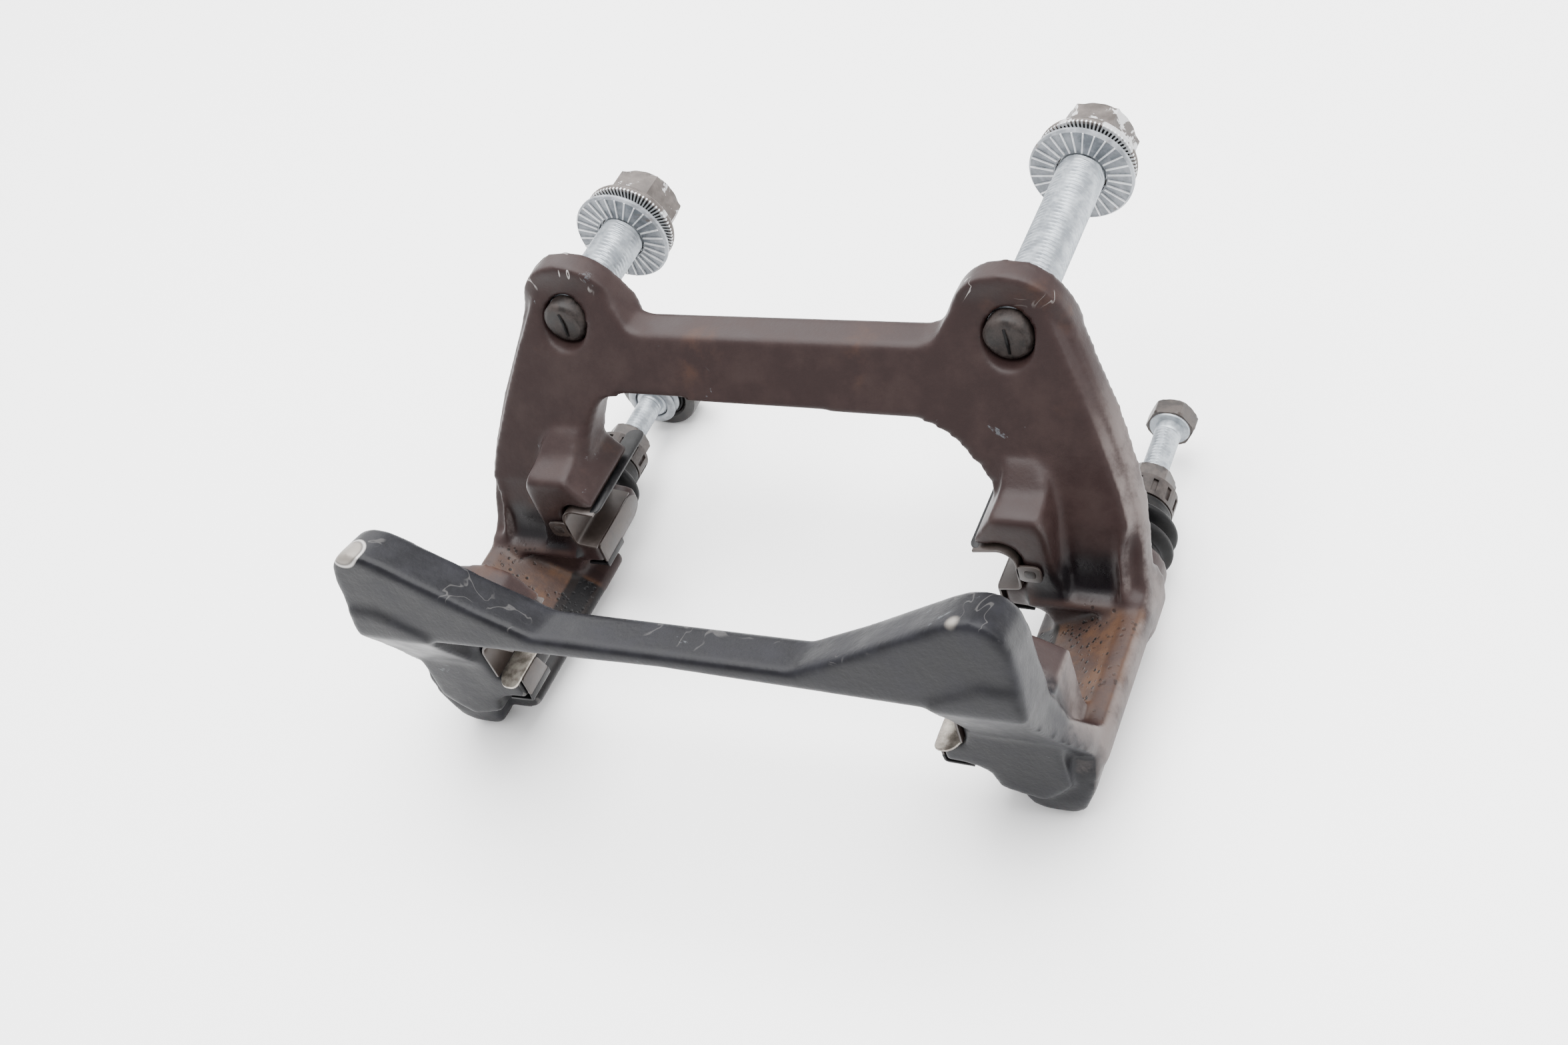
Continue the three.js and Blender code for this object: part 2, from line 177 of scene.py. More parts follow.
# node-tree helpers
class Nodes:
    def __init__(self, tree):
        self.tree = tree

    def add(self, kind, **settings):
        node = self.tree.nodes.new(kind)
        for key, value in settings.items():
            setattr(node, key, value)
        return node

    def link(self, a, b):
        self.tree.links.new(a, b)

    def math(self, operation, a, b=None, clamp=False):
        node = self.add("ShaderNodeMath", operation=operation, use_clamp=clamp)
        for i, value in enumerate([a, b]):
            if value is None:
                continue
            if isinstance(value, (int, float)):
                node.inputs[i].default_value = value
            else:
                self.link(value, node.inputs[i])
        return node.outputs[0]

    def times(self, *values):
        product = values[0]
        for value in values[1:]:
            product = self.math("MULTIPLY", product, value)
        return product

    def plus(self, a, b, clamp=False):
        return self.math("ADD", a, b, clamp)

    def minus(self, a, b, clamp=False):
        return self.math("SUBTRACT", a, b, clamp)

    def noise(self, vector, scale, detail=4, roughness=0.55, distortion=0.0):
        node = self.add("ShaderNodeTexNoise")
        node.inputs["Scale"].default_value = scale
        node.inputs["Detail"].default_value = detail
        node.inputs["Roughness"].default_value = roughness
        node.inputs["Distortion"].default_value = distortion
        self.link(vector, node.inputs["Vector"])
        return node.outputs["Fac"]

    def voronoi(self, vector, scale, feature="F1"):
        node = self.add("ShaderNodeTexVoronoi", feature=feature)
        node.inputs["Scale"].default_value = scale
        self.link(vector, node.inputs["Vector"])
        return node.outputs["Distance"]

    def ramp(self, value, low, high, toLow=0.0, toHigh=1.0):
        node = self.add("ShaderNodeMapRange", interpolation_type="SMOOTHSTEP")
        node.inputs["From Min"].default_value = low
        node.inputs["From Max"].default_value = high
        node.inputs["To Min"].default_value = toLow
        node.inputs["To Max"].default_value = toHigh
        self.link(value, node.inputs["Value"])
        return node.outputs["Result"]

    def fade(self, value, low, high):
        return self.ramp(value, low, high, 1.0, 0.0)

    def mix(self, factor, a, b):
        node = self.add("ShaderNodeMix", data_type="RGBA")
        if isinstance(factor, (int, float)):
            node.inputs[0].default_value = factor
        else:
            self.link(factor, node.inputs[0])
        for socket, value in ((node.inputs[6], a), (node.inputs[7], b)):
            if isinstance(value, tuple):
                socket.default_value = (*value, 1.0)
            else:
                self.link(value, socket)
        return node.outputs[2]


def finishNamed(name):
    material = bpy.data.materials.new(name)
    material.use_nodes = True
    tree = material.node_tree
    tree.nodes.clear()
    nodes = Nodes(tree)
    output = nodes.add("ShaderNodeOutputMaterial")
    shader = nodes.add("ShaderNodeBsdfPrincipled")
    nodes.link(shader.outputs[0], output.inputs[0])
    where = nodes.add("ShaderNodeTexCoord").outputs["Object"]
    return material, nodes, shader, where


def setBump(nodes, shader, height, strength, distance):
    bump = nodes.add("ShaderNodeBump")
    bump.inputs["Strength"].default_value = strength
    bump.inputs["Distance"].default_value = distance
    nodes.link(height, bump.inputs["Height"])
    nodes.link(bump.outputs[0], shader.inputs["Normal"])


def wearAttribute(nodes):
    node = nodes.add("ShaderNodeAttribute", attribute_type="GEOMETRY")
    node.attribute_name = "edgeWear"
    return node.outputs["Fac"]


# finishes
castFinish = {
    "brown": (0.0165, 0.0090, 0.0086), "brownLight": (0.0225, 0.0130, 0.0120),
    "rust": (0.060, 0.026, 0.013), "charcoal": (0.0028, 0.0028, 0.0042),
    "charcoalLight": (0.0075, 0.0075, 0.0102), "floor": (0.034, 0.021, 0.017),
    # painted shade: the near-blacks for the bridges' inner chamfers, inner sides and leg fillets stand for
    # shade
    "floorRust": (0.066, 0.034, 0.019), "pit": (0.003, 0.003, 0.003), "edgeBlack": (0.004, 0.004, 0.0045),
    # the pale colour for the outer sides and the right hump's slope is partly dust, partly painted light
    "sideBlack": (0.003, 0.003, 0.0035), "soot": (0.0025, 0.0027, 0.0038), "dust": (0.125, 0.106, 0.100),
    # the worn colour also paints a highlight line along the tie bar's front edge
    "scuff": (0.075, 0.082, 0.090), "worn": (0.40, 0.385, 0.37), "humpMetal": (0.235, 0.215, 0.190),
    "leftHump": (-0.0915, -0.0885, 0.0905), "rightHump": (0.0850, -0.0895, 0.0880), "frontY": -0.072,
    "earZ": 0.0965, "grain": 900.0, "gloss": 0.17}


def nearSpot(nodes, where, spot, reach, soft):
    gap = nodes.add("ShaderNodeVectorMath", operation="DISTANCE")
    nodes.link(where, gap.inputs[0])
    gap.inputs[1].default_value = spot
    return nodes.fade(gap.outputs["Value"], reach - soft, reach + soft)


def castFields(nodes, where):
    # what the casting's finish reads at each point: its place, the way it faces, its wear and some noise
    place, facing = nodes.add("ShaderNodeSeparateXYZ"), nodes.add("ShaderNodeSeparateXYZ")
    nodes.link(where, place.inputs[0])
    nodes.link(nodes.add("ShaderNodeNewGeometry").outputs["Normal"], facing.inputs[0])
    px, py, pz = place.outputs
    cloud = nodes.noise(where, 26.0, 5, 0.6)
    frontY = castFinish["frontY"]
    edgeY = nodes.plus(py, nodes.times(nodes.minus(cloud, 0.5), 0.020))
    return SimpleNamespace(
        where=where, px=px, py=py, pz=pz, reachX=nodes.math("ABSOLUTE", px), nx=facing.outputs[0],
        nz=facing.outputs[2], upward=nodes.ramp(facing.outputs[2], 0.35, 0.85), cloud=cloud,
        mottle=nodes.noise(where, 95.0, 6, 0.62), speck=nodes.noise(where, 420.0, 4, 0.7, 0.6),
        wear=wearAttribute(nodes), outboard=nodes.fade(edgeY, frontY - 0.004, frontY + 0.003))


def paintCoats(nodes, at):
    # brown inboard, charcoal on the tie bar and the feet
    user = castFinish
    brown = nodes.mix(nodes.ramp(at.mottle, 0.38, 0.70), user["brown"], user["brownLight"])
    rusty = nodes.times(nodes.ramp(at.cloud, 0.55, 0.72), nodes.ramp(at.mottle, 0.42, 0.62), 0.45)
    brown = nodes.mix(rusty, brown, user["rust"])
    black = nodes.mix(nodes.ramp(at.mottle, 0.40, 0.72), user["charcoal"], user["charcoalLight"])
    return nodes.mix(at.outboard, brown, black)


def bridgeFloors(nodes, at, colour):
    # floors of the bridges: rustier, with dark pits
    user = castFinish
    alongFloor = nodes.times(nodes.ramp(at.py, -0.080, -0.072), nodes.fade(at.py, -0.030, -0.027))
    floorZone = nodes.times(nodes.fade(at.pz, 0.0262, 0.0285), at.upward, alongFloor)
    rustShare = nodes.ramp(nodes.noise(at.where, 60.0, 5, 0.65), 0.42, 0.62)
    floorColour = nodes.mix(rustShare, user["floor"], user["floorRust"])
    colour = nodes.mix(nodes.times(floorZone, 0.85), colour, floorColour)
    hole = nodes.fade(nodes.voronoi(at.where, 620.0), 0.20, 0.42)
    group = nodes.ramp(nodes.noise(at.where, 170.0, 4, 0.6), 0.47, 0.56)
    pits = nodes.times(hole, group, nodes.plus(nodes.times(floorZone, 0.92), 0.03))
    return nodes.mix(pits, colour, user["pit"]), pits


def shadeFaces(nodes, at, colour):
    # painted shade: black on each bridge's inner chamfer and on its inward-facing inner side, and
    # near-black in the fillet where a leg meets its bridge
    user = castFinish
    inboardEnd = nodes.fade(at.py, -0.0300, -0.0285)
    chamfer = nodes.times(nodes.fade(at.reachX, 0.0768, 0.0776), nodes.ramp(at.reachX, 0.0722, 0.0730))
    chamfer = nodes.times(chamfer, nodes.fade(at.pz, 0.0150, 0.0160), inboardEnd, 0.9)
    colour = nodes.mix(chamfer, colour, user["edgeBlack"])
    # painted shade on the bridges' faces turned towards the middle
    inwardSideShade = nodes.fade(nodes.times(at.px, at.nx), -0.035, -0.020)
    inwardSideShade = nodes.times(inwardSideShade, nodes.fade(at.pz, 0.0290, 0.0310), nodes.fade(at.reachX, 0.0790, 0.0800))
    inwardSideShade = nodes.times(inwardSideShade, nodes.ramp(at.py, -0.0840, -0.0820), inboardEnd, 0.92)
    colour = nodes.mix(inwardSideShade, colour, user["sideBlack"])
    # painted shade in the fillet where a leg meets its bridge, also made glossier
    raggedZ = nodes.plus(at.pz, nodes.times(at.cloud, 0.016))
    soot = nodes.times(nodes.ramp(at.pz, 0.0272, 0.0290), nodes.fade(raggedZ, 0.043, 0.052))
    soot = nodes.times(soot, nodes.ramp(at.py, -0.0420, -0.0380), nodes.ramp(at.reachX, 0.070, 0.078))
    soot = nodes.times(soot, nodes.fade(at.reachX, 0.094, 0.099))
    return nodes.mix(nodes.times(soot, 0.85), colour, user["soot"]), soot


def paleSideLightAndDust(nodes, at, colour):
    # partly dust, partly painted light: a pale film on the outward-facing outer sides, and painted light on
    # the right hump's upward-facing outer slope
    user = castFinish
    sideX = nodes.minus(at.reachX, nodes.times(at.outboard, 0.011))
    side = nodes.times(
        nodes.ramp(sideX, 0.088, 0.100), nodes.ramp(nodes.math("ABSOLUTE", at.nx), 0.45, 0.80))
    sideLightAndDust = nodes.times(side, nodes.ramp(nodes.noise(at.where, 55.0, 6, 0.68), 0.34, 0.60))
    sideLightAndDust = nodes.times(sideLightAndDust, nodes.ramp(at.py, -0.104, -0.078))
    colour = nodes.mix(nodes.times(sideLightAndDust, 0.72), colour, user["dust"])
    # painted light on the right hump's upward-facing outer slope
    rightSlopeLight = nodes.times(at.outboard, nodes.ramp(at.nz, 0.15, 0.50), nodes.ramp(at.px, 0.084, 0.092))
    rightSlopeLight = nodes.times(rightSlopeLight, nodes.fade(at.pz, 0.058, 0.066))
    rightSlopeLight = nodes.times(rightSlopeLight, nodes.ramp(nodes.noise(at.where, 120.0, 5, 0.7), 0.36, 0.62), 0.6)
    return nodes.mix(rightSlopeLight, colour, user["dust"]), sideLightAndDust


def bareMetalAndHighlight(nodes, at, colour):
    # a few scuffs, curls of bare metal on the ears and humps, rubbed corners, a bare spot on each hump, and
    # a painted highlight line along the tie bar's front top edge
    user = castFinish
    scuff = nodes.ramp(nodes.noise(at.where, 42.0, 5, 0.7, 1.2), 0.665, 0.69)
    colour = nodes.mix(nodes.times(scuff, nodes.ramp(at.speck, 0.42, 0.56), 0.75), colour, user["scuff"])
    bend = nodes.math("ABSOLUTE", nodes.minus(nodes.noise(at.where, 62.0, 2, 0.5, 1.6), 0.5))
    patch = nodes.ramp(nodes.noise(at.where, 40.0, 2, 0.5), 0.53, 0.57)
    ears = nodes.ramp(at.pz, user["earZ"], user["earZ"] + 0.004)
    zone = nodes.plus(ears, nodes.times(at.outboard, at.upward, 0.14), clamp=True)
    loops = nodes.times(nodes.fade(bend, 0.006, 0.016), zone, patch, 0.55)
    edge = nodes.times(nodes.ramp(at.wear, 0.86, 1.0), nodes.ramp(at.speck, 0.44, 0.66))
    edge = nodes.times(edge, nodes.plus(nodes.times(at.outboard, 0.055), 0.035))
    rub = nodes.times(nodes.ramp(at.wear, 0.80, 1.0), 0.012)
    # painted highlight: a thin pale line on the tie bar's sharpest front edges
    edgeHighlightLine = nodes.times(nodes.ramp(at.wear, 0.93, 1.0), at.outboard, 0.10)
    bareAndHighlight = nodes.plus(nodes.plus(edge, nodes.plus(rub, edgeHighlightLine)), loops, clamp=True)
    left, right = user["leftHump"], user["rightHump"]
    spot = nodes.math(
        "MAXIMUM", nearSpot(nodes, at.where, left, 0.0052, 0.0007),
        nearSpot(nodes, at.where, right, 0.0014, 0.0010))
    outer, inner = (nearSpot(nodes, at.where, left, reach, 0.0003) for reach in (0.0062, 0.0055))
    bareAndHighlight = nodes.math("MAXIMUM", bareAndHighlight, nodes.times(nodes.minus(outer, inner, clamp=True), 0.9))
    colour = nodes.mix(nodes.times(spot, 0.8), colour, user["humpMetal"])
    metal = nodes.times(nodes.math("MAXIMUM", bareAndHighlight, nodes.times(spot, 0.6)), 0.6)
    return nodes.mix(bareAndHighlight, colour, user["worn"]), metal


def castPaint():
    material, nodes, shader, where = finishNamed("castPaint")
    at = castFields(nodes, where)
    colour = paintCoats(nodes, at)
    colour, pits = bridgeFloors(nodes, at, colour)
    colour, soot = shadeFaces(nodes, at, colour)
    colour, sideLightAndDust = paleSideLightAndDust(nodes, at, colour)
    colour, metal = bareMetalAndHighlight(nodes, at, colour)
    nodes.link(colour, shader.inputs["Base Color"])
    nodes.link(metal, shader.inputs["Metallic"])
    rough = nodes.plus(nodes.ramp(at.mottle, 0.30, 0.72, 0.38, 0.52), nodes.times(sideLightAndDust, 0.14))
    rough = nodes.minus(rough, nodes.plus(nodes.times(at.outboard, 0.03), nodes.times(soot, 0.14)))
    nodes.link(rough, shader.inputs["Roughness"])
    shader.inputs["Specular IOR Level"].default_value = castFinish["gloss"]
    grain = nodes.noise(where, castFinish["grain"], 3, 0.6)
    height = nodes.plus(nodes.times(at.mottle, 0.5), nodes.times(grain, 0.30))
    height = nodes.plus(height, nodes.times(at.cloud, 1.1))
    height = nodes.minus(height, nodes.times(pits, 1.2))
    height = nodes.plus(height, nodes.times(nodes.noise(where, 330.0, 4, 0.6), at.outboard, 0.5))
    setBump(nodes, shader, height, 0.45, 0.00035)
    return material


def metalFinish(
    name, base, light, roughLow, roughHigh, metallic, scale, tint=None, tintShare=0.0, grainBump=0.25,
    gloss=0.5):
    material, nodes, shader, where = finishNamed(name)
    mottle = nodes.noise(where, scale, 6, 0.65)
    fine = nodes.noise(where, scale * 9, 3, 0.6)
    colour = nodes.mix(nodes.ramp(mottle, 0.36, 0.66), base, light)
    if tint:
        stain = nodes.ramp(
            nodes.noise(where, scale * 0.55, 5, 0.6, 0.8), 0.62 - tintShare, 0.78 - tintShare)
        colour = nodes.mix(stain, colour, tint)
    wear = wearAttribute(nodes)
    colour = nodes.mix(nodes.times(nodes.ramp(wear, 0.35, 0.9), 0.5), colour, light)
    nodes.link(colour, shader.inputs["Base Color"])
    shader.inputs["Metallic"].default_value = metallic
    nodes.link(nodes.ramp(mottle, 0.3, 0.7, roughLow, roughHigh), shader.inputs["Roughness"])
    setBump(nodes, shader, nodes.plus(mottle, nodes.times(fine, 0.5)), grainBump, 0.0002)
    shader.inputs["Specular IOR Level"].default_value = gloss
    return material


def rubberFinish():
    material, nodes, shader, where = finishNamed("bootRubber")
    mottle = nodes.noise(where, 180.0, 5, 0.6)
    colour = nodes.mix(nodes.ramp(mottle, 0.45, 0.75), (0.0025, 0.0025, 0.0028), (0.0095, 0.0088, 0.0084))
    nodes.link(colour, shader.inputs["Base Color"])
    nodes.link(nodes.ramp(mottle, 0.3, 0.7, 0.42, 0.62), shader.inputs["Roughness"])
    setBump(nodes, shader, nodes.noise(where, 1400.0, 3, 0.6), 0.2, 0.0001)
    shader.inputs["Specular IOR Level"].default_value = 0.15
    return material


def flakedHeadFinish():
    # the mounting bolts' heads: dull brown-grey steel with flakes of pale coating
    material, nodes, shader, where = finishNamed("flakedHead")
    mottle = nodes.noise(where, 150.0, 6, 0.65)
    flake = nodes.ramp(nodes.noise(where, 105.0, 5, 0.68, 0.6), 0.55, 0.585)
    colour = nodes.mix(nodes.ramp(mottle, 0.35, 0.7), (0.040, 0.032, 0.028), (0.105, 0.090, 0.082))
    colour = nodes.mix(nodes.times(flake, 0.80), colour, (0.50, 0.50, 0.51))
    nodes.link(colour, shader.inputs["Base Color"])
    shader.inputs["Metallic"].default_value = 0.35
    nodes.link(nodes.ramp(mottle, 0.3, 0.7, 0.42, 0.6), shader.inputs["Roughness"])
    setBump(nodes, shader, nodes.plus(mottle, nodes.times(flake, 0.5)), 0.4, 0.0003)
    return material


castMaterial = castPaint()
zincMaterial = metalFinish("zincFlake", (0.24, 0.262, 0.285), (0.40, 0.428, 0.455), 0.32, 0.50, 0.62, 240.0)
# painted highlight: a lighter copy of the zinc for the washer ribs and the flange teeth, brighter than the
# faces between them
ribHighlightZinc = metalFinish("ribZinc", (0.50, 0.515, 0.53), (0.66, 0.675, 0.69), 0.36, 0.50, 0.35, 260.0)
washerMaterial = metalFinish(
    "washerZinc", (0.135, 0.146, 0.160), (0.255, 0.270, 0.288), 0.34, 0.50, 0.55, 260.0,
    (0.12, 0.085, 0.062), 0.02)
headMaterial = flakedHeadFinish()
tipMaterial = metalFinish(
    "boltTip", (0.007, 0.0048, 0.0042), (0.026, 0.020, 0.018), 0.42, 0.58, 0.0, 300.0, gloss=0.2)
pinMaterial = metalFinish(
    "pinSteel", (0.015, 0.011, 0.0095), (0.046, 0.036, 0.031), 0.38, 0.55, 0.20, 260.0,
    (0.035, 0.025, 0.021), 0.02)
clipMaterial = metalFinish(
    "clipStrip", (0.014, 0.010, 0.009), (0.034, 0.025, 0.021), 0.30, 0.48, 0.25, 120.0,
    (0.24, 0.215, 0.185), -0.045)
blackClipMaterial = metalFinish(
    "blackStrip", (0.0015, 0.0015, 0.002), (0.006, 0.006, 0.0065), 0.36, 0.5, 0.0, 170.0, gloss=0.22)
brightClipMaterial = metalFinish(
    "rubbedStrip", (0.16, 0.14, 0.12), (0.42, 0.39, 0.34), 0.30, 0.45, 0.5, 300.0)
crownMaterial = metalFinish(
    "crownMoulding", (0.014, 0.010, 0.0088), (0.036, 0.028, 0.025), 0.45, 0.62, 0.0, 330.0, gloss=0.3)
weightMaterial = metalFinish(
    "damperCoat", (0.010, 0.0095, 0.0095), (0.028, 0.025, 0.023), 0.36, 0.52, 0.25, 220.0,
    (0.16, 0.065, 0.024), -0.04)
rubberMaterial = rubberFinish()
print("stage: finishes made")


# the casting
castingShape = {"voxel": 0.00098, "smoothTurns": 13, "smoothFactor": 0.5, "wearTurns": 14, "wearGain": 95.0}


def edgeWearValues(mesh, turns=3, gain=260.0):
    # how far each point stands proud of its neighbours, as a share
    count = len(mesh.vertices)
    points = np.empty(count * 3)
    mesh.vertices.foreach_get("co", points)
    points = points.reshape(-1, 3)
    normals = np.empty(count * 3)
    mesh.vertices.foreach_get("normal", normals)
    normals = normals.reshape(-1, 3)
    edges = np.empty(len(mesh.edges) * 2, dtype=int)
    mesh.edges.foreach_get("vertices", edges)
    edges = edges.reshape(-1, 2)
    degree = np.bincount(edges.ravel(), minlength=count).astype(float)
    degree[degree == 0] = 1

    def average(values):
        out = np.zeros_like(values)
        np.add.at(out, edges[:, 0], values[edges[:, 1]])
        np.add.at(out, edges[:, 1], values[edges[:, 0]])
        return out / degree.reshape((-1,) + (1,) * (values.ndim - 1))

    soft = points.copy()
    for _ in range(turns):
        soft = average(soft)
    proud = ((points - soft) * normals).sum(1) * gain * 10
    for _ in range(2):
        proud = 0.5 * proud + 0.5 * average(proud)
    return np.clip(proud, 0, 1)


def giveWear(piece, turns=3, gain=260.0):
    values = edgeWearValues(piece.data, turns, gain)
    attribute = piece.data.attributes.new("edgeWear", "FLOAT", "POINT")
    attribute.data.foreach_set("value", values.astype(np.float32))


def castBody():
    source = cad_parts["carrier_casting"]
    piece = bpy.data.objects.new("castBracket", source.data.copy())
    bpy.context.scene.collection.objects.link(piece)
    bm = bmesh.new()
    bm.from_mesh(piece.data)
    bmesh.ops.remove_doubles(bm, verts=bm.verts, dist=2e-6)
    bm.to_mesh(piece.data)
    bm.free()
    piece.data.materials.clear()
    remesh = piece.modifiers.new("grid", "REMESH")
    remesh.mode = "VOXEL"
    remesh.voxel_size = castingShape["voxel"]
    soften = piece.modifiers.new("soften", "SMOOTH")
    soften.factor = castingShape["smoothFactor"]
    soften.iterations = castingShape["smoothTurns"]
    piece = bake(piece, "castBracket")
    piece.data.materials.clear()
    piece.data.materials.append(castMaterial)
    piece.data.polygons.foreach_set("use_smooth", [True] * len(piece.data.polygons))
    giveWear(piece, castingShape["wearTurns"], castingShape["wearGain"])
    return piece


casting = castBody()
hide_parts("carrier_casting")
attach(casting, "carrier")
print("stage: casting", len(casting.data.polygons), "faces")


# geometry nodes for what repeats
def newTree(name, inputs):
    tree = bpy.data.node_groups.new(name, "GeometryNodeTree")
    tree.interface.new_socket("Geometry", in_out="INPUT", socket_type="NodeSocketGeometry")
    tree.interface.new_socket("Geometry", in_out="OUTPUT", socket_type="NodeSocketGeometry")
    for label, kind in inputs:
        tree.interface.new_socket(label, in_out="INPUT", socket_type=kind)
    nodes = Nodes(tree)
    start = nodes.add("NodeGroupInput")
    end = nodes.add("NodeGroupOutput")
    return tree, nodes, start, end


def endTree(nodes, start, end, geometry):
    solid = nodes.add("GeometryNodeRealizeInstances")
    nodes.link(geometry, solid.inputs[0])
    painted = nodes.add("GeometryNodeSetMaterial")
    nodes.link(solid.outputs[0], painted.inputs["Geometry"])
    nodes.link(start.outputs["Finish"], painted.inputs["Material"])
    nodes.link(painted.outputs[0], end.inputs[0])


def runTree(tree, name, values):
    holder = meshPiece(name + "Holder", [(0, 0, 0)], [], smooth=False)
    modifier = holder.modifiers.new("pattern", "NODES")
    modifier.node_group = tree
    for item in tree.interface.items_tree:
        if item.in_out == "INPUT" and item.name in values:
            modifier[item.identifier] = values[item.name]
    return bake(holder, name)


def radialRibsTree():
    # ribs laid round a centre on a plane across Y, each a bar along its radius
    tree, nodes, start, end = newTree("radialRibs", [
        ("Count", "NodeSocketInt"), ("Inner Radius", "NodeSocketFloat"),
        ("Outer Radius", "NodeSocketFloat"), ("Width", "NodeSocketFloat"), ("Height", "NodeSocketFloat"),
        ("Centre", "NodeSocketVector"), ("Finish", "NodeSocketMaterial")])
    give = start.outputs
    ring = nodes.add("GeometryNodeMeshCircle")
    nodes.link(give["Count"], ring.inputs["Vertices"])
    nodes.link(
        nodes.times(nodes.plus(give["Inner Radius"], give["Outer Radius"]), 0.5), ring.inputs["Radius"])
    bar = nodes.add("GeometryNodeMeshCube")
    size = nodes.add("ShaderNodeCombineXYZ")
    nodes.link(nodes.minus(give["Outer Radius"], give["Inner Radius"]), size.inputs[0])
    nodes.link(give["Width"], size.inputs[1])
    nodes.link(give["Height"], size.inputs[2])
    nodes.link(size.outputs[0], bar.inputs["Size"])
    place = nodes.add("GeometryNodeInstanceOnPoints")
    nodes.link(ring.outputs[0], place.inputs["Points"])
    nodes.link(bar.outputs[0], place.inputs["Instance"])
    spot = nodes.add("GeometryNodeInputPosition")
    split = nodes.add("ShaderNodeSeparateXYZ")
    nodes.link(spot.outputs[0], split.inputs[0])
    angle = nodes.math("ARCTAN2", split.outputs[1], split.outputs[0])
    turn = nodes.add("ShaderNodeCombineXYZ")
    nodes.link(angle, turn.inputs[2])
    nodes.link(turn.outputs[0], place.inputs["Rotation"])
    stand = nodes.add("GeometryNodeTransform")
    stand.inputs["Rotation"].default_value = (math.pi / 2, 0, 0)
    nodes.link(place.outputs[0], stand.inputs["Geometry"])
    nodes.link(give["Centre"], stand.inputs["Translation"])
    endTree(nodes, start, end, stand.outputs[0])
    return tree


def threadTree():
    # a closed rod along Y whose skin rises and falls in a helix of the given pitch
    tree, nodes, start, end = newTree("screwThread", [
        ("Radius", "NodeSocketFloat"), ("Length", "NodeSocketFloat"), ("Pitch", "NodeSocketFloat"),
        ("Depth", "NodeSocketFloat"), ("Plain", "NodeSocketFloat"), ("Sides", "NodeSocketInt"),
        ("Rings", "NodeSocketInt"), ("Centre", "NodeSocketVector"), ("Finish", "NodeSocketMaterial")])
    give = start.outputs
    rod = nodes.add("GeometryNodeMeshCylinder")
    nodes.link(give["Sides"], rod.inputs["Vertices"])
    nodes.link(give["Rings"], rod.inputs["Side Segments"])
    nodes.link(give["Radius"], rod.inputs["Radius"])
    nodes.link(give["Length"], rod.inputs["Depth"])
    spot = nodes.add("GeometryNodeInputPosition")
    split = nodes.add("ShaderNodeSeparateXYZ")
    nodes.link(spot.outputs[0], split.inputs[0])
    x, y, z = split.outputs
    angle = nodes.math("DIVIDE", nodes.math("ARCTAN2", y, x), 2 * math.pi)
    phase = nodes.math("FRACT", nodes.plus(nodes.math("DIVIDE", z, give["Pitch"]), nodes.plus(angle, 60.0)))
    wave = nodes.times(nodes.math("ABSOLUTE", nodes.minus(phase, 0.5)), 2.0)
    # the last stretch towards the head stays plain
    fromTop = nodes.minus(nodes.times(give["Length"], 0.5), z)
    cutting = nodes.math("DIVIDE", nodes.minus(fromTop, give["Plain"]), 0.0015, clamp=True)
    drop = nodes.times(nodes.times(wave, give["Depth"]), cutting)
    factor = nodes.minus(1.0, nodes.math("DIVIDE", drop, give["Radius"]))
    scaled = nodes.add("ShaderNodeCombineXYZ")
    nodes.link(nodes.times(x, factor), scaled.inputs[0])
    nodes.link(nodes.times(y, factor), scaled.inputs[1])
    nodes.link(z, scaled.inputs[2])
    shape = nodes.add("GeometryNodeSetPosition")
    nodes.link(rod.outputs["Mesh"], shape.inputs["Geometry"])
    nodes.link(scaled.outputs[0], shape.inputs["Position"])
    stand = nodes.add("GeometryNodeTransform")
    stand.inputs["Rotation"].default_value = (-math.pi / 2, 0, 0)
    nodes.link(shape.outputs[0], stand.inputs["Geometry"])
    nodes.link(give["Centre"], stand.inputs["Translation"])
    endTree(nodes, start, end, stand.outputs[0])
    return tree


ribsTree = radialRibsTree()
screwTree = threadTree()


def threadedRod(name, x, z, y0, y1, radius, pitch, depth, plain, finish, sides=56):
    rod = runTree(screwTree, name, {
        "Radius": radius, "Length": y1 - y0, "Pitch": pitch, "Depth": depth, "Plain": plain, "Sides": sides,
        "Rings": max(int((y1 - y0) / pitch * 6), 8), "Centre": (x, (y0 + y1) / 2, z), "Finish": finish})
    sharpByAngle(rod, 55)
    return rod


def ribRing(name, x, y, z, count, inner, outer, width, height, finish):
    return runTree(ribsTree, name, {
        "Count": count, "Inner Radius": inner, "Outer Radius": outer, "Width": width, "Height": height,
        "Centre": (x, y, z), "Finish": finish})


